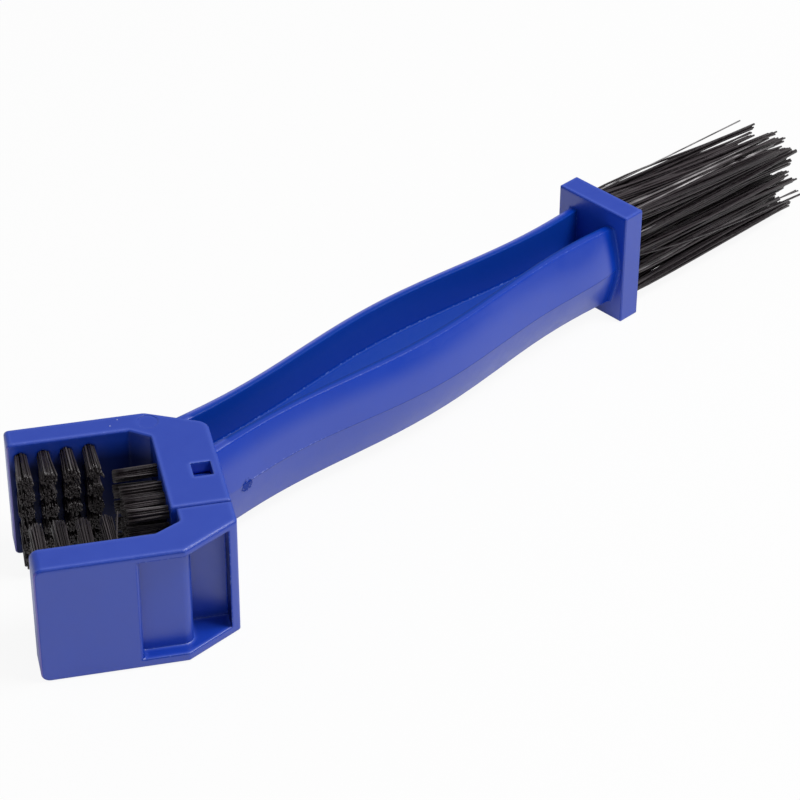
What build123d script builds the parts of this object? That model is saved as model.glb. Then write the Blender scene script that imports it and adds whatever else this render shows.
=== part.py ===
from build123d import *
from math import cos, radians, sin, sqrt
import os

# Three-sided chain-cleaning brush, in millimetres, with +Z up. A U-shaped head scrubs a roller chain
# on both sides and on its rollers, and a block of long bristles at the other end reaches sprockets.
#
# Part frame: the origin is the middle of the end wall's underside, X runs from the open mouth of the U
# through the end wall, and Y points to the side of the fixed arm. Both the head and the bristle block
# stand on Z = 0. The handle has a frame of its own, turned about Z, whose x runs out to the block.

# Head: the U that the chain runs through
head_height = 32.0
head_length = 46.9          # from the arms' tips to the end wall's outer face
head_width = 53.1
end_wall = 13.8
fixed_arm = 6.2             # thickness of the arm that is one piece with the handle
clip_arm = 7.7              # thickness of the arm that clips on
clip_end_wall = 12.6        # the clip-on piece's share of the end wall is a little thinner
fixed_bevel = (13.9, 6.8)   # outer corner cut along x and y, on the fixed arm's side
clip_bevel = (13.2, 8.3)
fixed_gusset = (4.7, 3.4)   # inner corner fill along x and y
clip_gusset = (6.0, 3.3)
seam_from_clip_face = 15.85  # where the clip-on piece ends, from its own outer face
seam_gap = 0.4
fixed_tip_round = 1.2       # arms' tips, seen from the side
clip_tip_round = 2.2
fixed_corner_round = 3.5    # upright outer corners
clip_corner_round = 1.2
inner_corner_round = 0.8
edge_break = 0.35           # narrow bevel round the top and bottom faces

# Round mark that an ejector pin left in the top face
ejector_radius = 2.5
ejector_depth = 0.1
ejector_from_wall = 13.6    # its centre, from the end wall's outer face
ejector_from_fixed_face = 3.8

# Relief in the clip-on arm's outer face: a shallow pocket that opens into a deep one at the corner
pocket_depth = 3.5
pocket_from_tip = 23.3      # flat pad between the tip and the pocket
pad_edge_break = 0.6
pocket_corner_round = 1.0
pocket_end_from_wall = 11.3  # where the shallow floor rounds off, from the end wall's outer face
pocket_lip_round = 2.4
deep_pocket_from_seam = 4.1  # wall left between the deep pocket and the seam
end_flange = 2.3
top_flange = 1.8
bottom_flange = 2.3

# Snap fit: a sprung tongue above and one below run from the clip-on arm into the hollow end wall
window_size = (4.6, 5.0)    # along the head's x and y
window_centre_from_wall = 4.4  # from the end wall's outer face
window_from_seam = 12.7
latch_skin = 3.0            # end wall's skin above and below the hollow
latch_clearance = 0.2
tongue_height = 2.2
hook_rise = 2.0
hook_tip = 0.7              # blunt end of the tongue, past the hook

# Handle: two bowed walls on a level web
handle_turn = 31.4          # degrees from X to the handle's own x
handle_reach = 151.7        # from the origin to the block, along the handle
handle_offset = 15.8        # handle's centre line from the origin, across the handle
handle_root = 5.8           # where the handle starts, inside the end wall
handle_height_at_head = 23.2
handle_height_at_block = 22.5
rim_wall = 1.9
web = 1.6
crown_share = 0.13          # how much each half of a wall's side bows, as a share of its bulge
block_fillet = 1.0
# share of the handle's length from the block, half width at the rims, bulge of the side at mid-height
handle_stations = [
    (0.000, 7.2, 2.4),
    (0.155, 6.8, 4.2),
    (0.345, 9.4, 3.7),
    (0.500, 10.5, 3.7),
    (0.670, 8.8, 2.8),
    (0.820, 7.5, 2.6),
    (1.000, 8.8, 2.0),
]

# Block that carries the long bristles
block_thickness = 6.5
block_width = 23.4
block_corner_round = 0.5
block_edge_break = 0.3

# Short tufts in the head
hole_radius = 1.6
hole_clearance = 0.1        # between a tuft's root and its hole
hole_depth = 4.0
tuft_columns = 4
tuft_rows = 6
tuft_pitch = 5.3            # along the arm
row_pitch = 4.8             # along Z
first_tuft_from_tip = 3.0
fixed_tuft_length = 9.5
clip_tuft_length = 12.2
end_tuft_lengths = [10.2, 9.6, 9.5, 9.3]
end_tufts_from_fixed_face = [17.35, 24.1, 28.5, 33.5]
short_strands = 4           # on a ring; each stands for a cluster of filaments
short_strand_radius = 0.7  # to the corners of a three-sided strand
short_seat_ring = 0.75      # radius of the ring of strands at the hole
short_tip_ring = 1.4        # and at the tips
short_ragged = 0.6          # how much the tips' reach varies

# Long tufts in the block
long_hole_radius = 1.7
long_hole_depth = 5.0
long_columns = 4
long_rows = 5
long_column_pitch = 4.8
long_row_pitch = 5.6
long_strands = 7            # one in the middle and the others on a ring
long_strand_radius = 0.48
long_seat_ring = 1.02
long_tip_ring = 1.4
long_length = 63.0
long_ragged = 5.0
long_sweep = (-1.5, -3.5)   # how far the tips of the whole bundle lean across the handle and along Z
long_gather = (0.80, 0.75)  # the bundle's width and height at its tips, as a share of those at the block

# Flat wire that pins each folded tuft in its hole
anchor_thickness = 0.4
anchor_height = 1.6
anchor_slack = 0.05

hole_sides = 6
strand_sides = 3
strand_overlap = 0.6        # how deep a strand starts inside its root
cut_margin = 1.0            # how far a cut runs past the face that it opens
matching_gap = 0.05         # how close an edge lies to the face that it is picked by

outer_x = end_wall / 2
inner_x = -end_wall / 2
tip_x = outer_x - head_length
fixed_face_y = head_width / 2
clip_face_y = -head_width / 2
fixed_inner_y = fixed_face_y - fixed_arm
clip_inner_y = clip_face_y + clip_arm
clip_inner_x = outer_x - clip_end_wall
seam_y = clip_face_y + seam_from_clip_face
clip_seam_y = seam_y - seam_gap
mid_z = head_height / 2
handle_length = handle_reach - handle_root
block_outer_x = handle_reach + block_thickness
foot_rim = handle_stations[0][1]

HANDLE = Location((0, 0, 0), (0, 0, handle_turn))


def rounded_outline(points, rounds):
    """Face with the given corners, where rounds pairs a radius with the corners that it rounds."""
    face = make_face(Polyline(*points, close=True))
    for radius, corners in rounds:
        picked = [face.vertices().sort_by_distance((*corner, 0))[0] for corner in corners]
        face = fillet(picked, radius)
    return face


def head_prism(points, rounds, tip_round):
    """Upright prism of the head's full height, with its arm's tip rounded and its other rims bevelled."""
    solid = extrude(rounded_outline(points, rounds), head_height)
    tip_edges = solid.edges().filter_by(Axis.Y).group_by(Axis.X)[0]
    solid = fillet(tip_edges, tip_round)
    rims = [
        edge
        for level in (0, -1)
        for edge in solid.faces().filter_by(Axis.Z).group_by(Axis.Z)[level].edges()
        if edge.center().X > tip_x + tip_round + edge_break
    ]
    return chamfer(rims, edge_break)


def fixed_head():
    """Fixed arm and end wall, before the handle joins them."""
    bevel = (outer_x - fixed_bevel[0], fixed_face_y), (outer_x, fixed_face_y - fixed_bevel[1])
    gusset = (inner_x, fixed_inner_y - fixed_gusset[1]), (inner_x - fixed_gusset[0], fixed_inner_y)
    points = [
        (tip_x, fixed_face_y),
        *bevel,
        (outer_x, seam_y),
        (inner_x, seam_y),
        *gusset,
        (tip_x, fixed_inner_y),
    ]
    solid = head_prism(points, [(fixed_corner_round, bevel), (inner_corner_round, gusset)], fixed_tip_round)
    mark_x, mark_y = outer_x - ejector_from_wall, fixed_face_y - ejector_from_fixed_face
    return solid - Pos(mark_x, mark_y, head_height) * Cylinder(ejector_radius, 2 * ejector_depth)


def chain_slot():
    """Space between the arms, kept clear when the handle joins the head."""
    points = [
        (tip_x - cut_margin, fixed_inner_y),
        (inner_x - fixed_gusset[0], fixed_inner_y),
        (inner_x, fixed_inner_y - fixed_gusset[1]),
        (inner_x, seam_y),
        (tip_x - cut_margin, seam_y),
    ]
    return extrude(make_face(Polyline(*points, close=True)), head_height)


def handle_section(share, rim, bulge):
    """Cross-section of the handle's outside: flat rims and two sides that bow out to a ridge."""
    height = handle_height_at_block + share * (handle_height_at_head - handle_height_at_block)
    half = height / 2
    belly = rim + bulge
    crown = bulge * crown_share
    chord = sqrt(half**2 + bulge**2)
    arc_y = rim + bulge / 2 + crown * half / chord
    arc_z = half / 2 + crown * bulge / chord
    outline = Curve() + [
        Line((-rim, half), (rim, half)),
        ThreePointArc((rim, half), (arc_y, arc_z), (belly, 0)),
        ThreePointArc((belly, 0), (arc_y, -arc_z), (rim, -half)),
        Line((rim, -half), (-rim, -half)),
        ThreePointArc((-rim, -half), (-arc_y, -arc_z), (-belly, 0)),
        ThreePointArc((-belly, 0), (-arc_y, arc_z), (-rim, half)),
    ]
    station = Plane(
        origin=(handle_reach - share * handle_length, handle_offset, mid_z),
        x_dir=(0, 1, 0),
        z_dir=(1, 0, 0),
    )
    return station * make_face(outline)


def handle_channel():
    """Troughs between the walls, above and below the web."""
    inside = [(handle_reach - share * handle_length, rim - rim_wall) for share, rim, _ in handle_stations]
    near = [(x, handle_offset - half) for x, half in inside]
    far = [(x, handle_offset + half) for x, half in inside]
    plan = Curve() + [Spline(*near), Line(near[-1], far[-1]), Spline(*far), Line(near[0], far[0])]
    face = make_face(plan)
    above = extrude(Pos(0, 0, mid_z + web / 2) * face, handle_height_at_block)
    below = extrude(Pos(0, 0, mid_z - web / 2) * face, -handle_height_at_block)
    return above + below


def block():
    """Rectangular plate across the handle's end."""
    plate = Pos((handle_reach + block_outer_x) / 2, handle_offset, mid_z) * Box(
        block_thickness, block_width, head_height
    )
    plate = fillet(plate.edges().filter_by(Axis.X), block_corner_round)
    ends = plate.faces().filter_by(Axis.X)
    return chamfer(ends.edges(), block_edge_break)


def handle():
    """H-shaped handle, whose walls swell out in the middle to fill the hand, filleted into its block."""
    outside = loft([handle_section(*station) for station in handle_stations])
    joined = outside + block()
    sides = [edge for edge in joined.edges() if abs(edge.center().Y - handle_offset) > foot_rim]
    foot = [edge for edge in sides if edge.is_interior and abs(edge.center().X - handle_reach) < matching_gap]
    return fillet(foot, block_fillet) - handle_channel()


def latch_hollow():
    """Hollow in the end wall for the tongues, with a window above and one below."""
    centre_x = outer_x - window_centre_from_wall
    width = window_size[0] + 2 * latch_clearance
    window_y = seam_y + window_from_seam
    length = cut_margin + window_from_seam + window_size[1] / 2 + hook_tip
    hollow = Pos(centre_x, seam_y - cut_margin + length / 2, mid_z) * Box(
        width, length, head_height - 2 * latch_skin
    )
    window = Pos(centre_x, window_y, mid_z) * Box(*window_size, head_height + 2 * cut_margin)
    return hollow + window


def tongue():
    """Upper sprung tongue with its hook."""
    top = head_height - latch_skin - latch_clearance
    hook_end = seam_y + window_from_seam + window_size[1] / 2 - latch_clearance
    hook_start = hook_end - window_size[1] + 2 * latch_clearance
    root = seam_y - deep_pocket_from_seam + cut_margin
    points = [
        (root, top - tongue_height),
        (hook_end + hook_tip, top - tongue_height),
        (hook_end, top),
        (hook_start + hook_rise / 2, top + hook_rise),
        (hook_start, top + hook_rise),
        (hook_start, top),
        (root, top),
    ]
    face = make_face(Polyline(*points, close=True))
    width = window_size[0] - 2 * latch_clearance
    upright = Plane(origin=(outer_x - window_centre_from_wall, 0, 0), x_dir=(0, 1, 0), z_dir=(1, 0, 0))
    return extrude(upright * face, width / 2, both=True)


def relief():
    """Shallow and deep pockets in the clip-on arm's outer side, as one cut."""
    floor_y = clip_face_y + pocket_depth
    back_y = seam_y - deep_pocket_from_seam
    start_x = tip_x + pocket_from_tip
    lip = (outer_x - pocket_end_from_wall, floor_y)
    flange_x = outer_x - end_flange
    open_y = clip_face_y - cut_margin
    points = [
        (start_x - pad_edge_break, open_y),
        (start_x - pad_edge_break, clip_face_y),
        (start_x, clip_face_y + pad_edge_break),
        (start_x, floor_y),
        lip,
        (lip[0], back_y),
        (flange_x, back_y),
        (flange_x, open_y),
    ]
    height = head_height - top_flange - bottom_flange
    cut = extrude(rounded_outline(points, [(pocket_lip_round, [lip])]), height)
    corners = cut.edges().filter_by(Axis.Y).filter_by_position(Axis.X, start_x, start_x)
    return Pos(0, 0, bottom_flange) * fillet(corners, pocket_corner_round)


def row_heights():
    return [mid_z + (row - (tuft_rows - 1) / 2) * row_pitch for row in range(tuft_rows)]


def seat(point, outward):
    """Place of a hole's mouth in the head, whose z axis leaves the hole."""
    return Location(Plane(origin=point, x_dir=(0, 0, 1), z_dir=outward))


def seats_along_arm(face_y, inward):
    """Place of each tuft in an arm, column by column."""
    columns = []
    for column in range(tuft_columns):
        x = tip_x + first_tuft_from_tip + column * tuft_pitch
        columns.append([seat((x, face_y, z), (0, inward, 0)) for z in row_heights()])
    return columns


def seats_on_end_wall():
    """Place of each tuft in the end wall, column by column."""
    columns = []
    for from_face in end_tufts_from_fixed_face:
        y = fixed_face_y - from_face
        columns.append([seat((inner_x, y, z), (-1, 0, 0)) for z in row_heights()])
    return columns


def block_seats():
    """Place of each long tuft in the block, row by row, with its offset from the bundle's middle."""
    rows = []
    for row in range(long_rows):
        line = []
        for column in range(long_columns):
            y = (column - (long_columns - 1) / 2) * long_column_pitch
            z = (row - (long_rows - 1) / 2) * long_row_pitch
            origin = (block_outer_x, handle_offset + y, mid_z + z)
            mouth = Plane(origin=origin, x_dir=(0, 1, 0), z_dir=(1, 0, 0))
            line.append((HANDLE * Location(mouth), y, z))
        rows.append(line)
    return rows


def hole(radius, depth):
    """Blind tuft hole whose mouth is at the origin and which runs down -Z."""
    return Pos(0, 0, -depth) * extrude(RegularPolygon(radius, hole_sides), depth + cut_margin)


def root(radius, depth):
    """Folded foot of a tuft, slotted where it straddles its anchor."""
    foot = extrude(RegularPolygon(radius - hole_clearance, hole_sides), -depth)
    slot = Box(2 * radius, anchor_thickness + 2 * anchor_slack, anchor_height + anchor_slack)
    return foot - Pos(0, 0, -depth + (anchor_height + anchor_slack) / 2) * slot


def strand_between(start, end, radius, turn):
    """Straight strand from one point to another, level at both ends, with one side facing outward."""
    profile = Pos(*start) * RegularPolygon(radius, strand_sides, rotation=turn + 180)
    return Solid.extrude(profile.face(), Vector(*end) - Vector(*start))


def short_tuft(length):
    """Tuft of splayed strands on a folded foot."""
    strands = []
    for index in range(short_strands):
        turn = 360 * (index + 0.5) / short_strands
        across, up = cos(radians(turn)), sin(radians(turn))
        start = (short_seat_ring * across, short_seat_ring * up, -strand_overlap)
        reach = length - short_ragged * index / short_strands
        end = (short_tip_ring * across, short_tip_ring * up, reach)
        strands.append(strand_between(start, end, short_strand_radius, turn))
    return root(hole_radius, hole_depth).fuse(*strands)


def long_tuft(y, z):
    """Tuft of long strands, gathered and swept with the rest of the bundle. y and z are its offsets."""
    drift_y = (long_gather[0] - 1) * y + long_sweep[0]
    drift_z = (long_gather[1] - 1) * z + long_sweep[1]
    strands = []
    for index in range(long_strands):
        turn = 360 * index / (long_strands - 1)
        in_ring = min(index, 1)
        across, up = in_ring * cos(radians(turn)), in_ring * sin(radians(turn))
        start = (long_seat_ring * across, long_seat_ring * up, -strand_overlap)
        reach = long_length + long_ragged / 2 * sin(index * (1 + y) + z)
        end = (long_tip_ring * across + drift_y, long_tip_ring * up + drift_z, reach)
        strands.append(strand_between(start, end, long_strand_radius, turn))
    return root(long_hole_radius, long_hole_depth).fuse(*strands)


def anchor(radius, depth):
    """Flat wire across the bottom of a hole."""
    length = 2 * (radius - 2 * hole_clearance)
    return Pos(0, 0, -depth + anchor_height / 2) * Box(length, anchor_thickness, anchor_height)


def every(columns):
    return [place for column in columns for place in column]


fixed_seats = seats_along_arm(fixed_inner_y, -1)
clip_seats = seats_along_arm(clip_inner_y, 1)
end_seats = seats_on_end_wall()
long_seats = block_seats()
short_hole = hole(hole_radius, hole_depth)
long_hole = hole(long_hole_radius, long_hole_depth)


def handle_body():
    """One moulding: fixed arm, end wall, handle and block."""
    body = fixed_head() + HANDLE * handle() - chain_slot() - latch_hollow()
    short_holes = [place * short_hole for place in every(fixed_seats) + every(end_seats)]
    long_holes = [place * long_hole for place, _, _ in every(long_seats)]
    return body.cut(*short_holes, *long_holes)


def clip_arm():
    """Second moulding, which clips into the end wall."""
    bevel = (outer_x - clip_bevel[0], clip_face_y), (outer_x, clip_face_y + clip_bevel[1])
    gusset = (clip_inner_x, clip_inner_y + clip_gusset[1]), (clip_inner_x - clip_gusset[0], clip_inner_y)
    points = [
        (tip_x, clip_face_y),
        *bevel,
        (outer_x, clip_seam_y),
        (clip_inner_x, clip_seam_y),
        *gusset,
        (tip_x, clip_inner_y),
    ]
    rounds = [(clip_corner_round, bevel), (inner_corner_round, gusset)]
    shell = head_prism(points, rounds, clip_tip_round) - relief()
    upper = tongue()
    lower = mirror(upper, Plane.XY.offset(mid_z))
    arm = shell + upper + lower
    return arm.cut(*[place * short_hole for place in every(clip_seats)])


def group(solids):
    """Several separate solids in one node."""
    return Compound(children=list(solids))


def write(name, shape):
    export_step(shape, f"parts/{name}.step")


os.makedirs("parts", exist_ok=True)
write("handle_body", handle_body())
write("clip_arm", clip_arm())

short_wire = anchor(hole_radius, hole_depth)
for side, columns, lengths in (
    ("fixed_arm", fixed_seats, tuft_columns * [fixed_tuft_length]),
    ("clip_arm", clip_seats, tuft_columns * [clip_tuft_length]),
    ("end_wall", end_seats, end_tuft_lengths),
):
    for number, (column, length) in enumerate(zip(columns, lengths), start=1):
        tuft = short_tuft(length)
        write(f"{side}_tufts_{number}", group(place * tuft for place in column))
    write(f"{side}_anchors", group(place * short_wire for place in every(columns)))

long_wire = anchor(long_hole_radius, long_hole_depth)
for number, row in enumerate(long_seats, start=1):
    write(f"long_bristles_{number}", group(place * long_tuft(y, z) for place, y, z in row))
write("block_anchors", group(place * long_wire for place, _, _ in every(long_seats)))
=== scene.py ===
import math

import bmesh
import bpy
import numpy as np
from mathutils import Matrix, Vector


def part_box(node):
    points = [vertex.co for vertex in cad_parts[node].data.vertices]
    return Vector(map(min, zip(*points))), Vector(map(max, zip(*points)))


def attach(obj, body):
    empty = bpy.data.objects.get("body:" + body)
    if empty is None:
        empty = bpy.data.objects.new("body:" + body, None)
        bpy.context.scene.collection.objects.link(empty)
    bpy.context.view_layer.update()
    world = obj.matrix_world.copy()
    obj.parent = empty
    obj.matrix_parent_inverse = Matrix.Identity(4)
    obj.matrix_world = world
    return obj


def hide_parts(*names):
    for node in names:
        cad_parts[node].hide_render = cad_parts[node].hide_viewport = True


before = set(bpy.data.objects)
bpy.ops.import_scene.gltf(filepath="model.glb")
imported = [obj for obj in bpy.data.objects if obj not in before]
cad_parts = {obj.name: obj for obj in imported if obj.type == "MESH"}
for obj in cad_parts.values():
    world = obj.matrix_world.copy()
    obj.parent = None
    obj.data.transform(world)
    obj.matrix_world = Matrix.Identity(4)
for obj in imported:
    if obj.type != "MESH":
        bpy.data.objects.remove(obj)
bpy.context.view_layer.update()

MM = 0.001
seed = np.random.default_rng(20260)

# Sizes and places are in millimetres. The handle has a frame of its own, turned about Z from the
# part's, whose x runs along the handle and out through the block.
MID_Z = 16.0
HEAD_TOP_Z = 32.0
HEAD_CENTRE = (-16.5, 0, MID_Z)
HEAD_REAR_X = 7.0           # just past the end wall's outer face
U_INSIDE_X = -6.0           # the inside of the U lies beyond it, towards the arms' tips
NEAR_SIDE_Y = -5.0          # the near arm and its pockets lie beyond it
REFLECTION_CORNER_X = -37.0       # the painted reflection lies beyond it, at the near arm's tip
ROLL_START_Z = 30.4         # the head's outer sides roll over above it
ROLL_RADIUS = 3.5
EDGE_RADIUS = 0.9           # that the shading rounds off at every edge
BLOCK_EDGE_RADIUS = 0.5     # and at the block
WIDE_RADIUS = 1.7           # over which painted shade and highlights by an edge spread
HANDLE_TURN = math.radians(31.4)
HANDLE_OFFSET = 15.8        # the handle's centre line from the origin, across the handle
HANDLE_START = 18.0         # along the handle, clear of the head
FLARE_START = 147.0         # the handle widens from here into the block
FLARE_FULL = 149.6
FLARE_LINE = 151.55         # fine painted highlight line where the flare ends
HANDLE_END = 151.8          # just inside the block
BLOCK_OUTER_X = 158.2
WEB_TOP_Z = 16.8
SCAR_PLACE = (20.6, 15.2)   # gate scar's place along the handle, and its height
SCAR_HALF = (1.9, 1.7)      # half its length and height

# Short tufts, six to a column
ROW_PITCH = 4.8
SHORT_ROWS = 6
SHORT_COLUMNS = 4
SHORT_HOLE_DEPTH = 4.0
SHORT_FILAMENTS = 64
SHORT_ROOT_RADIUS = 1.42    # of the whole tuft, in its hole
SHORT_FILAMENT_RADIUS = 0.19
SHORT_SIDES = 5             # of a filament
SHORT_SHARES = np.array([-0.35, 0.0, 0.35, 0.7, 1.0])
SHORT_STRAYS = 0.02         # share of filaments that stand out of their tuft
SHORT_HIGHLIGHTED = 0.03          # share of filaments with a painted highlight
SHORT_HIGHLIGHT_STRENGTH = 0.12
SHORT_SETS = (
    # node's name, way out of the holes, way across them, length in each column, splay at the tips
    ("fixed_arm_tufts", (0, -1, 0), (1, 0, 0), (9.5, 9.5, 9.5, 9.5), 1.34),
    ("clip_arm_tufts", (0, 1, 0), (1, 0, 0), (12.2, 12.2, 12.2, 12.2), 1.10),
    ("end_wall_tufts", (-1, 0, 0), (0, 1, 0), (10.2, 9.6, 9.5, 9.3), 1.06),
)

# Long tufts, four to a row
LONG_COLUMN_PITCH = 4.8
LONG_ROW_PITCH = 5.6
LONG_COLUMNS = 4
LONG_ROWS = 5
LONG_LENGTH = 63.0
LONG_SWEEP = (-1.5, -3.5)   # how far the tips of the whole bundle lean, across the handle and along Z
LONG_GATHER = (0.80, 0.80)  # the tips' spacing as a share of the holes', across the handle and along Z
LONG_FILAMENTS = 26
LONG_CLUMPS = 3
LONG_ROOT_RADIUS = 1.40
LONG_TUFT_GATHER = 0.35     # a tuft's width at its tips, as a share of that at its hole
LONG_CLUMP_SPREAD = 1.9     # how far the clumps of a tuft lean apart
LONG_SWELL = 0.25           # how much a tuft bellies out on its way
LONG_FILAMENT_RADII = (0.25, 0.30)
LONG_SIDES = 6
LONG_SHARES = np.array([-0.05, 0, 0.12, 0.25, 0.4, 0.55, 0.7, 0.85, 1.0])
LONG_STRAYS = 0.03
# share and strength of long strands with a painted highlight
LONG_HIGHLIGHTED = 0.02
LONG_HIGHLIGHT_STRENGTH = (0.2, 0.7)
FLOOR_GAP = 0.5             # least height of a filament's middle line
SINGLE_RADIUS = 0.21
LONG_SINGLES = (
    # filaments that stand out from the bundle: row, root y and z, tip y and z, length, strength of painted
    # highlight
    (5, 7.2, 12.0, 6.0, 10.7, 60.1, 0.45),
    (2, -2.4, -5.6, -9.0, -9.2, 69.4, 0.10),
    (2, -6.2, -6.4, -9.6, -8.0, 67.5, 0.10),
    (5, -6.8, 12.3, -3.0, 5.4, 64.9, 0.90),
    (5, -6.2, 12.5, -2.3, 5.9, 64.0, 0.80),
    (5, -7.4, 12.1, -3.9, 6.0, 63.0, 0.55),
    (5, -3.0, 12.4, -0.5, 6.4, 62.0, 0.35),
    (4, -8.3, 6.4, -6.5, 0.6, 65.0, 0.45),
)

handle_x = Vector((math.cos(HANDLE_TURN), math.sin(HANDLE_TURN), 0))
handle_y = Vector((-math.sin(HANDLE_TURN), math.cos(HANDLE_TURN), 0))
up = Vector((0, 0, 1))


# ---------------------------------------------------------------- nodes in a material

class Tree:
    """Short names for building a material or a world out of nodes."""

    def __init__(self, owner):
        owner.use_nodes = True
        self.owner = owner
        self.nodes = owner.node_tree.nodes
        self.links = owner.node_tree.links

    def plug(self, value, socket):
        """Links a node's output into a socket, or sets the socket to a number or colour."""
        if isinstance(value, bpy.types.NodeSocket):
            self.links.new(value, socket)
        else:
            socket.default_value = value

    def math(self, operation, *values):
        node = self.nodes.new("ShaderNodeMath")
        node.operation = operation
        for value, socket in zip(values, node.inputs):
            self.plug(value, socket)
        return node.outputs[0]

    def vector(self, operation, *values):
        node = self.nodes.new("ShaderNodeVectorMath")
        node.operation = operation
        for value, socket in zip(values, node.inputs):
            self.plug(value, socket)
        gives_number = operation in ("DOT_PRODUCT", "DISTANCE")
        return node.outputs["Value"] if gives_number else node.outputs[0]

    def dot(self, first, second):
        return self.vector("DOT_PRODUCT", first, second)

    def place(self):
        """The point's place in the part's frame, in millimetres."""
        coordinates = self.nodes.new("ShaderNodeTexCoord")
        scale = self.nodes.new("ShaderNodeVectorMath")
        scale.operation = "SCALE"
        self.links.new(coordinates.outputs["Object"], scale.inputs[0])
        scale.inputs["Scale"].default_value = 1 / MM
        return scale.outputs[0]

    def noise(self, place, size, detail, stretch=(1, 1, 1)):
        """Noise whose features are about size millimetres across."""
        node = self.nodes.new("ShaderNodeTexNoise")
        self.links.new(self.vector("MULTIPLY", place, stretch), node.inputs["Vector"])
        node.inputs["Scale"].default_value = 1 / size
        node.inputs["Detail"].default_value = detail
        return node.outputs["Fac"]

    def attribute(self, name):
        """A number that each vertex of the mesh carries."""
        node = self.nodes.new("ShaderNodeAttribute")
        node.attribute_name = name
        return node.outputs["Fac"]

    def remap(self, value, low, high, to_low=0.0, to_high=1.0):
        """Value from low to high, turned into to_low to to_high and held there beyond."""
        node = self.nodes.new("ShaderNodeMapRange")
        ends = {"Value": value, "From Min": low, "From Max": high, "To Min": to_low, "To Max": to_high}
        for socket, number in ends.items():
            self.plug(number, node.inputs[socket])
        return node.outputs["Result"]

    def smooth(self, value, low, high, to_low=0.0, to_high=1.0):
        """As remap, but easing in and out."""
        result = self.remap(value, low, high, to_low, to_high)
        result.node.interpolation_type = "SMOOTHSTEP"
        return result

    def band(self, value, middle, half, soft):
        """1 where value is within half of middle, fading to 0 over soft."""
        away = self.math("ABSOLUTE", self.math("SUBTRACT", value, middle))
        return self.remap(away, half, half + soft, 1, 0)

    def half_square(self, value, start):
        """Half the square of how far value is past start."""
        past = self.math("MAXIMUM", self.math("SUBTRACT", value, start), 0)
        return self.math("MULTIPLY", self.math("POWER", past, 2), 0.5)

    def squared_ratio(self, value, middle, half):
        """Square of how far value is from middle, counted in halves."""
        return self.math("POWER", self.math("DIVIDE", self.math("SUBTRACT", value, middle), half), 2)

    def all_of(self, *shares):
        """Product of several shares."""
        total = shares[0]
        for share in shares[1:]:
            total = self.math("MULTIPLY", total, share)
        return total

    def any_of(self, *shares):
        """Largest of several shares."""
        total = shares[0]
        for share in shares[1:]:
            total = self.math("MAXIMUM", total, share)
        return total

    def rest_of(self, share):
        """What a share leaves of 1."""
        return self.math("SUBTRACT", 1, share)

    def mix(self, share, first, second):
        """Colour between first and second."""
        node = self.nodes.new("ShaderNodeMix")
        node.data_type = "RGBA"
        self.plug(share, node.inputs[0])
        self.plug(first, node.inputs[6])
        self.plug(second, node.inputs[7])
        return node.outputs[2]

    def bump(self, height, distance, normal=None):
        """Normal of a surface raised by height times distance millimetres."""
        node = self.nodes.new("ShaderNodeBump")
        node.inputs["Strength"].default_value = 1.0
        node.inputs["Distance"].default_value = distance * MM
        self.links.new(height, node.inputs["Height"])
        if normal is not None:
            self.links.new(normal, node.inputs["Normal"])
        return node.outputs["Normal"]

    def rounded(self, radius):
        """Normal that rounds off the edges over a radius in metres."""
        node = self.nodes.new("ShaderNodeBevel")
        node.samples = 8
        self.plug(radius, node.inputs["Radius"])
        return node.outputs["Normal"]


# ---------------------------------------------------------------- blue plastic

# Linear colours: the plastic's own, mixed with painted shade, highlights, glints and reflections
BLUE = (0.0055, 0.047, 0.455, 1)
FLOW_BLUE = (0.0080, 0.056, 0.505, 1)
CLOUD_BLUE = (0.0095, 0.060, 0.510, 1)
UNDER_EDGE_SHADE = (0.0030, 0.046, 0.50, 1)
TOP_EDGE_HIGHLIGHT = (0.048, 0.110, 0.62, 1)
EDGE_GLINT = (0.045, 0.13, 0.66, 1)
GLINT_FLECK = (0.24, 0.36, 0.88, 1)
FAR_RIM_HIGHLIGHT = (0.20, 0.245, 0.72, 1)
TROUGH_EDGE_SHADE = (0.0015, 0.048, 0.390, 1)
MOULD_LINE = (0.003, 0.022, 0.20, 1)
MOULD_LINE_GLINT = (0.36, 0.42, 0.85, 1)
FLARE_SHADE = (0.0020, 0.042, 0.42, 1)
FLARE_END_HIGHLIGHT = (0.05, 0.13, 0.60, 1)
GATE_SCAR = (0.004, 0.024, 0.19, 1)
TROUGH_SHADE = (0.0020, 0.062, 0.455, 1)
WEB_REFLECTION = (0.020, 0.070, 0.420, 1)
JUNCTION_GLINT = (0.14, 0.26, 0.72, 1)
HEAD_INSIDE_SHADE = (0.005, 0.006, 0.022, 1)
TIP_CORNER_REFLECTION = (0.20, 0.155, 0.58, 1)
DUST = (0.55, 0.58, 0.80, 1)

SPECKS = (
    # light specks of dust on the head's top: x, y, radius
    (-15.5, 22.9, 0.20),
    (-13.5, 25.0, 0.18),
)


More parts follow.
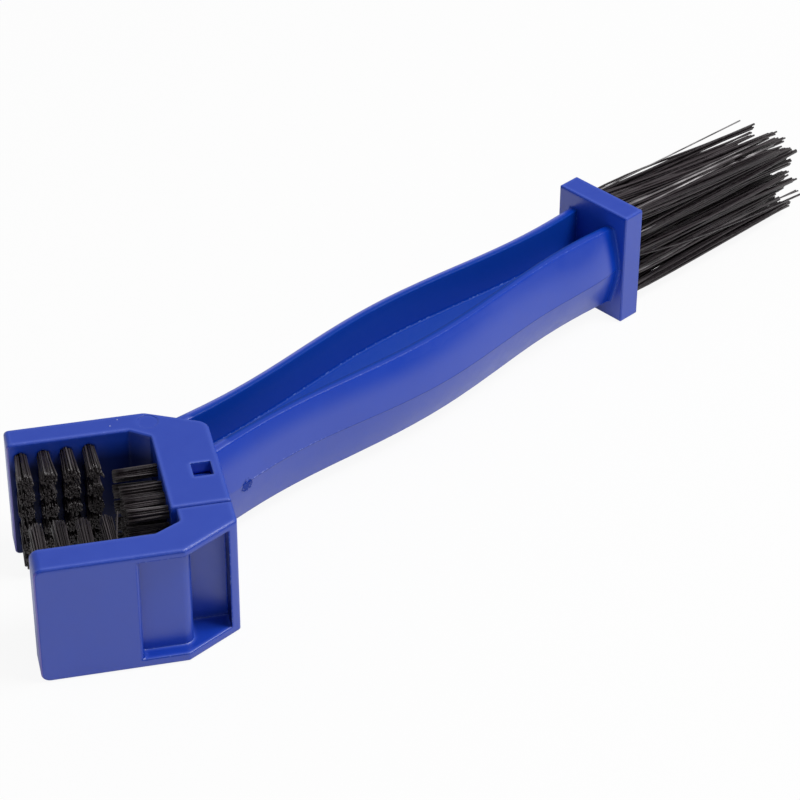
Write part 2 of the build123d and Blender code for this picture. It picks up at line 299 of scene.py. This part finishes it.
class Plastic(Tree):
    """Satin moulded plastic, built up one feature at a time."""

    def __init__(self):
        super().__init__(bpy.data.materials.new("blue_plastic"))
        self.here = self.place()
        self.facing = self.nodes.new("ShaderNodeNewGeometry").outputs["True Normal"]
        parts = self.nodes.new("ShaderNodeSeparateXYZ")
        self.links.new(self.here, parts.inputs[0])
        self.x = parts.outputs["X"]
        self.y = parts.outputs["Y"]
        self.height = parts.outputs["Z"]
        self.along = self.dot(self.here, handle_x)
        self.across = self.math("SUBTRACT", self.dot(self.here, handle_y), HANDLE_OFFSET)
        self.sideways = self.dot(self.facing, handle_y)
        self.level = self.math("ABSOLUTE", self.dot(self.facing, up))
        self.flat = self.remap(self.level, 0.6, 0.8)
        self.upright = self.remap(self.level, 0.6, 0.4)
        self.near_side = self.remap(self.sideways, -0.3, -0.5)
        self.before_block = self.remap(self.along, HANDLE_END, HANDLE_END - 0.05)
        past_head = self.remap(self.along, HANDLE_START, HANDLE_START + 1)
        self.on_handle = self.all_of(past_head, self.before_block)

        self.cloud = self.noise(self.here, 3.5, 3)
        self.skin = self.noise(self.here, 0.35, 2)
        self.grit = self.noise(self.here, 0.55, 3)
        self.flecks = self.remap(self.grit, 0.56, 0.66)
        radius = self.remap(self.along, 146, 149.5, EDGE_RADIUS * MM, BLOCK_EDGE_RADIUS * MM)
        self.edge_normal = self.rounded(radius)
        self.wide_normal = self.rounded(WIDE_RADIUS * MM)
        self.lean = self.dot(self.wide_normal, handle_y)
        self.leaning_in = self.remap(self.math("MULTIPLY", self.lean, self.across), -0.1, -1.0)

        flow = self.noise(self.here, 14, 3, (1, 1, 0.5))
        self.colour = self.mix(flow, BLUE, FLOW_BLUE)
        self.dulled = []

    def tint(self, colour, *shares):
        """Blends a colour in by the product of the shares."""
        self.colour = self.mix(self.all_of(*shares), self.colour, colour)

    def dull(self, *shares):
        """Takes shine away by the product of the shares, where a place sees only dark plastic."""
        self.dulled.append(self.all_of(*shares))

    def edges(self):
        """Painted shade on the sides by every edge, painted highlights on the flats by it, painted glints on
        it.
        """
        turned = self.dot(self.edge_normal, self.facing)
        bent = self.dot(self.wide_normal, self.facing)
        near_edge = self.remap(turned, 0.985, 0.90)
        on_edge = self.remap(turned, 0.93, 0.86)
        rising = self.remap(self.dot(self.wide_normal, up), 0.03, 0.1)
        below_rim = self.all_of(self.remap(bent, 0.995, 0.93), self.on_handle, rising)
        below_edge = self.all_of(self.any_of(near_edge, below_rim), self.rest_of(self.flat))
        highlight_strip = self.all_of(self.remap(bent, 0.9985, 0.985), self.flat, self.rest_of(self.on_handle))
        # painted shade: deeper blue on the sides just under each edge and under the handle's rims
        self.tint(UNDER_EDGE_SHADE, below_edge, 0.8)
        # painted highlight: a lighter strip on the flats along each edge, off the handle
        self.tint(TOP_EDGE_HIGHLIGHT, highlight_strip, 0.7)
        # painted glints: a light line on the flats along each edge, and light flecks on the edge itself
        self.tint(EDGE_GLINT, on_edge, self.flat, 0.45)
        self.tint(GLINT_FLECK, on_edge, self.flecks, 0.5)
        self.dull(below_edge, 0.8)

    def handle_rims(self):
        """Painted highlight on the far rim's outer side, both rims duller, and painted shade by the trough.
        """
        on_rim = self.all_of(self.flat, self.on_handle, self.remap(self.height, 18, 19))
        far_rim = self.all_of(on_rim, self.remap(self.lean, 0.02, 0.18), 0.8)
        # painted highlight: a pale line along the far rim's outer side
        self.tint(FAR_RIM_HIGHLIGHT, far_rim, self.remap(self.across, -1, 1))
        trough_edge = self.all_of(on_rim, self.leaning_in)
        # painted shade: deeper blue on the rims where they roll into the trough
        self.tint(TROUGH_EDGE_SHADE, trough_edge, 0.9)
        self.dull(trough_edge, 0.9)
        high_rim = self.all_of(self.on_handle, self.flat, self.remap(self.height, 20, 21))
        self.dull(high_rim, self.remap(self.along, 148, 147), 0.6)

    def under_rim(self):
        """Less shine high on the near side, fading out past the handle's middle."""
        high = self.smooth(self.height, 20.6, 26.4)
        reach = self.all_of(self.remap(self.along, 4, 14), self.remap(self.along, 125, 70))
        self.dull(high, self.near_side, self.upright, reach, 0.75)

    def mould_line(self):
        """Line where the mould's halves met, with painted glints above it near the head. Gives the line."""
        line = self.all_of(self.band(self.height, MID_Z, 0.10, 0.12), self.on_handle, self.upright)
        self.tint(MOULD_LINE, line, 0.32)
        # painted glints: light flecks just above the mould line, near the head
        line_glints = self.all_of(self.band(self.height, MID_Z + 0.25, 0.08, 0.1), self.on_handle, self.upright)
        self.tint(MOULD_LINE_GLINT, line_glints, self.remap(self.along, 60, 24), self.flecks, 0.8)
        return line

    def flare(self):
        """Painted shade where the flare at the block sees only the handle, and a painted highlight where it
        ends.
        """
        endwise = self.math("ABSOLUTE", self.dot(self.facing, handle_x))
        flare = self.all_of(self.smooth(self.along, FLARE_START, FLARE_FULL), self.before_block)
        flare = self.all_of(flare, self.remap(endwise, 0.99, 0.96))
        # painted shade: deeper blue on the flare, which sees only the handle
        self.tint(FLARE_SHADE, flare, 0.8)
        self.dull(flare)
        end_line = self.band(self.along, FLARE_LINE, 0.05, 0.06)
        # painted highlight: a fine light line where the flare meets the block
        self.tint(FLARE_END_HIGHLIGHT, end_line, self.remap(self.level, 0.8, 0.6), 0.45)

    def gate_scar(self):
        """Ragged blot that the mould's gate left low on the handle's near side. Gives the blot."""
        reach = self.squared_ratio(self.along, SCAR_PLACE[0], SCAR_HALF[0])
        rise = self.squared_ratio(self.height, SCAR_PLACE[1], SCAR_HALF[1])
        ragged = self.remap(self.grit, 0.3, 0.7, -0.7, 0.7)
        away = self.math("ADD", self.math("ADD", reach, rise), ragged)
        scar = self.all_of(self.remap(away, 1.1, 0.7), self.near_side)
        self.tint(GATE_SCAR, scar, self.remap(self.skin, 0.35, 0.6, 0.25, 0.6))
        self.dull(scar)
        return scar

    def trough(self):
        """Painted shade between the handle's walls, painted reflection on the web, painted glints where they
        meet.
        """
        inner = self.remap(self.math("MULTIPLY", self.sideways, self.across), 0, -1)
        web = self.all_of(self.band(self.height, WEB_TOP_Z, 0.1, 0.1), self.flat)
        trough = self.all_of(self.on_handle, self.remap(self.height, 15, 16), self.any_of(inner, web))
        foot = self.band(self.height, WEB_TOP_Z + 0.15, 0.13, 0.08)
        dashes = self.remap(self.noise(self.here, 0.9, 2), 0.55, 0.64)
        # painted shade: deeper, more saturated blue between the walls
        self.tint(TROUGH_SHADE, trough, 0.7)
        # painted reflection: a greyer, lighter top on the web
        self.tint(WEB_REFLECTION, web, self.on_handle, 0.6)
        # painted glints: light dashes along the foot of the walls, where they meet the web
        self.tint(JUNCTION_GLINT, inner, foot, dashes, self.on_handle, 0.85)
        self.dull(trough, 0.4)
        above_web = self.all_of(inner, self.remap(self.height, 18.2, 17.4))
        junction = self.any_of(self.all_of(web, self.leaning_in), above_web)
        self.dull(junction, self.on_handle, 0.85)

    def head(self):
        """Painted shade in the U and near pockets, a painted reflection at a tip. Gives the outer sides'
        roll.
        """
        outward = self.dot(self.facing, self.vector("SUBTRACT", self.here, HEAD_CENTRE))
        on_head = self.remap(self.x, HEAD_REAR_X + 0.1, HEAD_REAR_X)
        past_start = self.half_square(self.height, ROLL_START_Z)
        roll = self.all_of(past_start, self.remap(outward, 0, 1), self.upright, on_head, -1 / ROLL_RADIUS)
        in_u = self.remap(self.x, U_INSIDE_X + 0.1, U_INSIDE_X)
        on_near_side = self.remap(self.y, NEAR_SIDE_Y, NEAR_SIDE_Y - 1)
        inside = self.all_of(self.remap(outward, 0, -1), self.upright, on_head)
        inside = self.all_of(inside, self.any_of(in_u, on_near_side))
        dimness = self.all_of(inside, self.remap(self.height, 29.5, 24.5), 0.78)
        # painted shade: the inside of the U and of the near pockets goes near-black lower down
        self.tint(HEAD_INSIDE_SHADE, dimness)
        self.dull(dimness)
        corner = self.dot(self.facing, (-0.7071, -0.7071, 0))
        at_tip = self.remap(self.x, REFLECTION_CORNER_X, REFLECTION_CORNER_X - 1)
        # painted reflection: a pale lilac sheen on the near arm's tip corner
        self.tint(TIP_CORNER_REFLECTION, self.remap(corner, 0.80, 0.95), at_tip, 0.75)
        return roll

    def dust(self):
        """Specks on the head's top."""
        top = self.remap(self.height, HEAD_TOP_Z - 0.2, HEAD_TOP_Z - 0.1)
        for x, y, radius in SPECKS:
            away = self.vector("DISTANCE", self.here, (x, y, HEAD_TOP_Z))
            self.tint(DUST, self.remap(away, radius, radius * 0.6), top)

    def shade(self, roll, line, scar):
        """Plugs the colour, the shine and the relief into the shader."""
        shader = self.nodes["Principled BSDF"]
        patches = self.remap(self.cloud, 0.3, 0.7, 0.31, 0.38)
        grain = self.remap(self.skin, 0.3, 0.7, -0.02, 0.02)
        normal = self.bump(roll, 1.0, self.edge_normal)
        normal = self.bump(self.skin, 0.006, normal)
        normal = self.bump(self.cloud, 0.03, normal)
        normal = self.bump(self.math("ADD", line, self.math("MULTIPLY", scar, -3)), 0.05, normal)
        shader.inputs["IOR"].default_value = 1.76
        self.plug(self.colour, shader.inputs["Base Color"])
        self.plug(self.math("ADD", patches, grain), shader.inputs["Roughness"])
        shine = self.remap(self.any_of(*self.dulled), 0, 1, 0.5, 0.04)
        self.plug(shine, shader.inputs["Specular IOR Level"])
        self.plug(normal, shader.inputs["Normal"])


def blue_plastic():
    """The plastic of both mouldings. Each feature's colour or painted light covers those before it."""
    tree = Plastic()
    tree.tint(CLOUD_BLUE, tree.remap(tree.cloud, 0.35, 0.75, 0, 0.35))
    tree.edges()
    tree.handle_rims()
    tree.under_rim()
    line = tree.mould_line()
    tree.flare()
    scar = tree.gate_scar()
    tree.trough()
    roll = tree.head()
    tree.dust()
    tree.shade(roll, line, scar)
    return tree.owner


# ---------------------------------------------------------------- bristles and their anchors

def black_nylon():
    """Glossy black filament, each strand a little different, scuffed and dusty at the cut ends, some with
    painted highlights.
    """
    tree = Tree(bpy.data.materials.new("black_nylon"))
    shader = tree.nodes["Principled BSDF"]
    place = tree.place()
    strand = tree.nodes.new("ShaderNodeNewGeometry").outputs["Random Per Island"]
    worn = tree.noise(place, 1.8, 2)
    colour = tree.mix(tree.math("POWER", strand, 2.5), (0.014, 0.0098, 0.0125, 1), (0.075, 0.062, 0.068, 1))
    colour = tree.mix(tree.remap(worn, 0.45, 0.8, 0, 0.5), colour, (0.050, 0.042, 0.045, 1))
    patch = tree.remap(tree.noise(place, 9, 1), 0.40, 0.60, 0.3, 1)
    # painted highlight: some strands turn near-white over patches of their length
    colour = tree.mix(tree.all_of(tree.attribute("painted_highlight"), patch), colour, (0.80, 0.77, 0.78, 1))
    tip = tree.remap(tree.attribute("reach"), 0.90, 1.0, 0, 0.55)
    colour = tree.mix(tip, colour, (0.070, 0.060, 0.062, 1))
    tree.plug(colour, shader.inputs["Base Color"])
    own_roughness = tree.remap(strand, 0, 1, 0.24, 0.45)
    wear = tree.remap(worn, 0.3, 0.8, -0.03, 0.06)
    tree.plug(tree.math("ADD", own_roughness, wear), shader.inputs["Roughness"])
    shader.inputs["IOR"].default_value = 1.53
    tree.plug(tree.bump(tree.noise(place, 0.25, 2), 0.01), shader.inputs["Normal"])
    return tree.owner


def anchor_metal():
    """Drawn brass wire, dulled by its own oxide."""
    tree = Tree(bpy.data.materials.new("anchor_wire"))
    shader = tree.nodes["Principled BSDF"]
    oxide = tree.noise(tree.place(), 0.6, 3)
    tree.plug(tree.mix(oxide, (0.62, 0.42, 0.16, 1), (0.36, 0.24, 0.10, 1)), shader.inputs["Base Color"])
    tree.plug(tree.remap(oxide, 0.3, 0.7, 0.28, 0.5), shader.inputs["Roughness"])
    shader.inputs["Metallic"].default_value = 1.0
    return tree.owner


def strands(name, paths, shares, radii, painted_highlights, sides, node):
    """One mesh of closed tubes along paths, an array of strands by points by x, y, z in metres.

    shares says how far along its strand each point is, from 0 at the hole's mouth to 1 at the tip.
    radii, and the strength of each strand's painted highlight, are one number for each strand."""
    count, points, _ = paths.shape
    along = np.gradient(paths, axis=1)
    along /= np.linalg.norm(along, axis=2, keepdims=True)
    main = along.mean(axis=(0, 1))
    helper = np.eye(3)[np.argmin(np.abs(main))]
    first = np.cross(along, helper)
    first /= np.linalg.norm(first, axis=2, keepdims=True)
    second = np.cross(along, first)
    start = seed.uniform(0, 2 * np.pi, (count, 1, 1, 1))
    angle = start + np.arange(sides).reshape(1, 1, sides, 1) * 2 * np.pi / sides
    radius = radii.reshape(count, -1, 1, 1)
    ring = np.cos(angle) * first[:, :, None, :] + np.sin(angle) * second[:, :, None, :]
    vertices = (paths[:, :, None, :] + radius * ring).reshape(-1, 3)

    faces = []
    smooth = []
    for strand in range(count):
        base = strand * points * sides
        for point in range(points - 1):
            here = base + point * sides
            for side in range(sides):
                other = (side + 1) % sides
                faces.append((here + side, here + sides + side, here + sides + other, here + other))
                smooth.append(True)
        last = base + (points - 1) * sides
        faces.append(tuple(base + side for side in range(sides)))
        faces.append(tuple(last + sides - 1 - side for side in range(sides)))
        smooth += [False, False]

    mesh = bpy.data.meshes.new(name)
    mesh.from_pydata(vertices.tolist(), [], faces)
    mesh.polygons.foreach_set("use_smooth", smooth)
    mesh.materials.append(nylon)
    bm = bmesh.new()
    bm.from_mesh(mesh)
    bmesh.ops.recalc_face_normals(bm, faces=bm.faces)
    bm.to_mesh(mesh)
    bm.free()
    reach = mesh.attributes.new("reach", "FLOAT", "POINT")
    reach.data.foreach_set("value", np.tile(np.repeat(shares, sides), count).astype(np.float32))
    painted_highlight = mesh.attributes.new("painted_highlight", "FLOAT", "POINT")
    painted_highlight.data.foreach_set("value", np.repeat(painted_highlights, points * sides).astype(np.float32))
    piece = bpy.data.objects.new(name, mesh)
    bpy.context.scene.collection.objects.link(piece)
    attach(piece, "root")
    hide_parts(node)


def disk(count, radius):
    """Points spread evenly over a disk, with a little disorder."""
    golden_turn = 2.39996  # radians
    index = np.arange(count) + 0.5
    reach = radius * np.sqrt(index / count)
    turn = index * golden_turn + seed.normal(0, 0.25, count) + seed.uniform(0, 2 * np.pi)
    return np.stack([reach * np.cos(turn), reach * np.sin(turn)], 1)


def short_tuft(mouth, outward, across, length, splay):
    """Paths of one short tuft. mouth is the middle of its hole, in millimetres."""
    count = SHORT_FILAMENTS
    rise = np.cross(outward, across)
    start = disk(count, SHORT_ROOT_RADIUS)
    lean = seed.normal(0, 0.15, 2)
    tips = start * (splay + seed.uniform(-0.06, 0.06)) + lean + seed.normal(0, 0.09, (count, 2))
    reach = length + seed.uniform(-0.15, 0.15) + seed.normal(0, 0.09, count)
    stray = seed.random(count) < SHORT_STRAYS
    tips[stray] += seed.normal(0, 0.5, (stray.sum(), 2))
    bend = seed.normal(0, 0.05, (count, 2))
    paths = np.empty((count, len(SHORT_SHARES), 3))
    for number, share in enumerate(SHORT_SHARES):
        ahead = max(share, 0)
        offset = start + (tips - start) * ahead**1.25 + bend * math.sin(math.pi * ahead)
        height = reach * share if share > 0 else np.full(count, share * SHORT_HOLE_DEPTH)
        paths[:, number] = (
            mouth
            + outward * height[:, None]
            + across * offset[:, :1]
            + rise * offset[:, 1:]
        )
    return paths


def short_column(node, outward, across, length, splay):
    """The six tufts of one node, whose place comes from the node's own box."""
    low, high = (np.array(corner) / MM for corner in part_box(node))
    outward = np.array(outward, float)
    across = np.array(across, float)
    middle = (low + high) / 2
    foot = np.where(outward > 0, low, high)
    mouth = np.where(outward != 0, foot + outward * SHORT_HOLE_DEPTH, middle)
    paths = []
    for row in range(SHORT_ROWS):
        centre = mouth.copy()
        centre[2] = MID_Z + (row - (SHORT_ROWS - 1) / 2) * ROW_PITCH
        paths.append(short_tuft(centre, outward, across, length, splay))
    paths = np.concatenate(paths) * MM
    radii = np.full(len(paths), SHORT_FILAMENT_RADIUS * MM)
    # some short strands carry a painted highlight
    painted_highlights = np.where(seed.random(len(paths)) < SHORT_HIGHLIGHTED, SHORT_HIGHLIGHT_STRENGTH, 0)
    strands("bristles_" + node, paths, SHORT_SHARES, radii, painted_highlights, SHORT_SIDES, node)


def long_tuft(y, z):
    """Paths of one long tuft, in the handle's frame. y and z are its offsets from the bundle's middle."""
    count = LONG_FILAMENTS
    start = disk(count, LONG_ROOT_RADIUS) + (y, z)
    drift = np.array(LONG_SWEEP) + (y * (LONG_GATHER[0] - 1), z * (LONG_GATHER[1] - 1))
    tuft_lean = seed.normal(0, 0.6, 2)
    clump = np.arange(count) % LONG_CLUMPS
    clump_lean = (disk(LONG_CLUMPS, LONG_CLUMP_SPREAD) + seed.normal(0, 0.5, (LONG_CLUMPS, 2)))[clump]
    tips = (y, z) + (start - (y, z)) * LONG_TUFT_GATHER + drift + tuft_lean + clump_lean
    tips = tips + seed.normal(0, 0.22, (count, 2))
    stray = seed.random(count) < LONG_STRAYS
    tips[stray] += seed.normal(0, 2.0, (stray.sum(), 2))
    clump_reach = seed.normal(0, 1.8, LONG_CLUMPS)[clump]
    reach = LONG_LENGTH + seed.normal(0, 1.6) + clump_reach + seed.normal(0, 0.9, count)
    bend = seed.normal(0, 0.25, (count, 2)) + seed.normal(0, 0.3, (LONG_CLUMPS, 2))[clump]
    twist = seed.normal(0, 0.12, (count, 2))
    paths = np.empty((count, len(LONG_SHARES), 3))
    for number, share in enumerate(LONG_SHARES):
        ahead = max(share, 0)
        swell = LONG_SWELL * math.sin(math.pi * ahead**0.6)
        offset = start + (tips - start) * ahead + (start - (y, z)) * swell
        offset = offset + bend * math.sin(math.pi * ahead) + twist * math.sin(2 * math.pi * ahead)
        paths[:, number, 0] = BLOCK_OUTER_X + reach * share
        paths[:, number, 1] = HANDLE_OFFSET + offset[:, 0]
        paths[:, number, 2] = np.maximum(MID_Z + offset[:, 1], FLOOR_GAP)
    return paths


def long_single(root_y, root_z, tip_y, tip_z, length):
    """Path of one straight filament, in the handle's frame."""
    ahead = np.maximum(LONG_SHARES, 0)
    x = BLOCK_OUTER_X + length * LONG_SHARES
    y = HANDLE_OFFSET + root_y + (tip_y - root_y) * ahead
    z = MID_Z + root_z + (tip_z - root_z) * ahead
    return np.stack([x, y, z], -1)[None]


def to_part_frame(paths):
    """Points in the handle's frame, turned into the part's frame, in metres."""
    x, y, z = paths[..., 0], paths[..., 1], paths[..., 2]
    turned = np.stack([
        x * handle_x[0] + y * handle_y[0],
        x * handle_x[1] + y * handle_y[1],
        z,
    ], -1)
    return turned * MM


def long_row(row):
    """The four tufts of one node, with the filaments that stand out of its row."""
    z = (row - (LONG_ROWS - 1) / 2) * LONG_ROW_PITCH
    paths = [
        long_tuft((column - (LONG_COLUMNS - 1) / 2) * LONG_COLUMN_PITCH, z)
        for column in range(LONG_COLUMNS)
    ]
    count = sum(len(tuft) for tuft in paths)
    radii = seed.uniform(*LONG_FILAMENT_RADII, count)
    # some long strands carry a painted highlight
    painted_highlights = np.where(seed.random(count) < LONG_HIGHLIGHTED, seed.uniform(*LONG_HIGHLIGHT_STRENGTH, count), 0)
    for number, *ends, length, painted_highlight in LONG_SINGLES:
        if number == row + 1:
            paths.append(long_single(*ends, length))
            radii = np.append(radii, SINGLE_RADIUS)
            painted_highlights = np.append(painted_highlights, painted_highlight)
    node = f"long_bristles_{row + 1}"
    paths = to_part_frame(np.concatenate(paths))
    strands("filaments_" + node, paths, LONG_SHARES, radii * MM, painted_highlights, LONG_SIDES, node)


plastic = blue_plastic()
nylon = black_nylon()
brass = anchor_metal()

for name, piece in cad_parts.items():
    if name in ("handle_body", "clip_arm"):
        finish = plastic
    elif name.endswith("_anchors"):
        finish = brass
    else:
        finish = nylon
    piece.data.materials.clear()
    piece.data.materials.append(finish)

for column in range(SHORT_COLUMNS):
    for name, outward, across, lengths, splay in SHORT_SETS:
        short_column(f"{name}_{column + 1}", outward, across, lengths[column], splay)
for row in range(LONG_ROWS):
    long_row(row)


# ---------------------------------------------------------------- floor, light and camera, in metres

def pale_floor():
    """Wide plain floor, white to the camera and in reflections, that keeps the object's shadow."""
    half = 3.0
    drop = 0.0002
    corners = [(-half, -half, 0), (half, -half, 0), (half, half, 0), (-half, half, 0)]
    mesh = bpy.data.meshes.new("floor")
    mesh.from_pydata(corners, [], [(0, 1, 2, 3)])
    floor = bpy.data.objects.new("floor", mesh)
    bpy.context.scene.collection.objects.link(floor)
    floor.location.z = -drop
    tree = Tree(bpy.data.materials.new("floor"))
    paper = tree.nodes["Principled BSDF"]
    paper.inputs["Base Color"].default_value = (0.90, 0.90, 0.90, 1)
    paper.inputs["Roughness"].default_value = 1.0
    paper.inputs["Specular IOR Level"].default_value = 0.0
    white = tree.nodes.new("ShaderNodeEmission")
    white.inputs["Strength"].default_value = 1.0
    path = tree.nodes.new("ShaderNodeLightPath")
    seen = tree.math("MULTIPLY", path.outputs["Is Camera Ray"], 0.92)
    mirrored = tree.any_of(path.outputs["Is Glossy Ray"], path.outputs["Is Transmission Ray"])
    whiteness = tree.any_of(seen, tree.math("MULTIPLY", mirrored, 0.40))
    blend = tree.nodes.new("ShaderNodeMixShader")
    tree.links.new(whiteness, blend.inputs[0])
    tree.links.new(paper.outputs[0], blend.inputs[1])
    tree.links.new(white.outputs[0], blend.inputs[2])
    tree.links.new(blend.outputs[0], tree.nodes["Material Output"].inputs["Surface"])
    mesh.materials.append(tree.owner)


def studio_world():
    """White room, whose reflections are dim behind the photographer and bright high above the object."""
    tree = Tree(bpy.data.worlds.new("studio"))
    background = tree.nodes["Background"]
    background.inputs["Color"].default_value = (1, 1, 1, 1)
    coordinates = tree.nodes.new("ShaderNodeTexCoord")
    direction = tree.vector("NORMALIZE", coordinates.outputs["Generated"])
    dim_side = Vector((0.10, -0.75, 0.65)).normalized()
    high_window = Vector((0.095, 0.395, 0.914)).normalized()
    walls = tree.smooth(tree.dot(direction, dim_side), -0.15, 0.30, 0.29, 0.05)
    window = tree.smooth(tree.dot(direction, high_window), 0.90, 0.97, 0, 0.8)
    path = tree.nodes.new("ShaderNodeLightPath")
    mirrored = tree.math("ADD", walls, window)
    strength = tree.remap(path.outputs["Is Glossy Ray"], 0, 1, 0.34, mirrored)
    strength = tree.remap(path.outputs["Is Camera Ray"], 0, 1, strength, 1.0)
    tree.plug(strength, background.inputs["Strength"])
    bpy.context.scene.world = tree.owner


def soft_lamp(name, place, target, size, power):
    """Square area lamp, aimed at target. Power is in watts."""
    light = bpy.data.lights.new(name, "AREA")
    light.shape = "SQUARE"
    light.size = size
    light.energy = power
    lamp = bpy.data.objects.new(name, light)
    bpy.context.scene.collection.objects.link(lamp)
    lamp.location = place
    aim = Vector(target) - Vector(place)
    lamp.rotation_euler = aim.to_track_quat("-Z", "Y").to_euler()


def camera():
    """The photograph's viewpoint."""
    lens = bpy.data.cameras.new("camera")
    lens.sensor_width = 36
    lens.lens = 133.867
    lens.clip_start = 0.05
    lens.clip_end = 20
    viewpoint = bpy.data.objects.new("camera", lens)
    bpy.context.scene.collection.objects.link(viewpoint)
    place = Vector((-77.83, -534.55, 442.26)) * MM
    forward = Vector((0.1862, 0.78891, -0.58562)).normalized()
    right = Vector((0.97405, -0.22629, 0.00486))
    right = (right - forward * right.dot(forward)).normalized()
    upward = right.cross(forward)
    turn = Matrix((right, upward, -forward)).transposed().to_4x4()
    viewpoint.matrix_world = Matrix.Translation(place) @ turn
    bpy.context.scene.camera = viewpoint


pale_floor()
studio_world()
soft_lamp("overhead", place=(0.59, -0.15, 1.06), target=(0.05, 0.03, 0), size=0.5, power=9.7)
camera()
bpy.context.scene.view_settings.view_transform = "Standard"
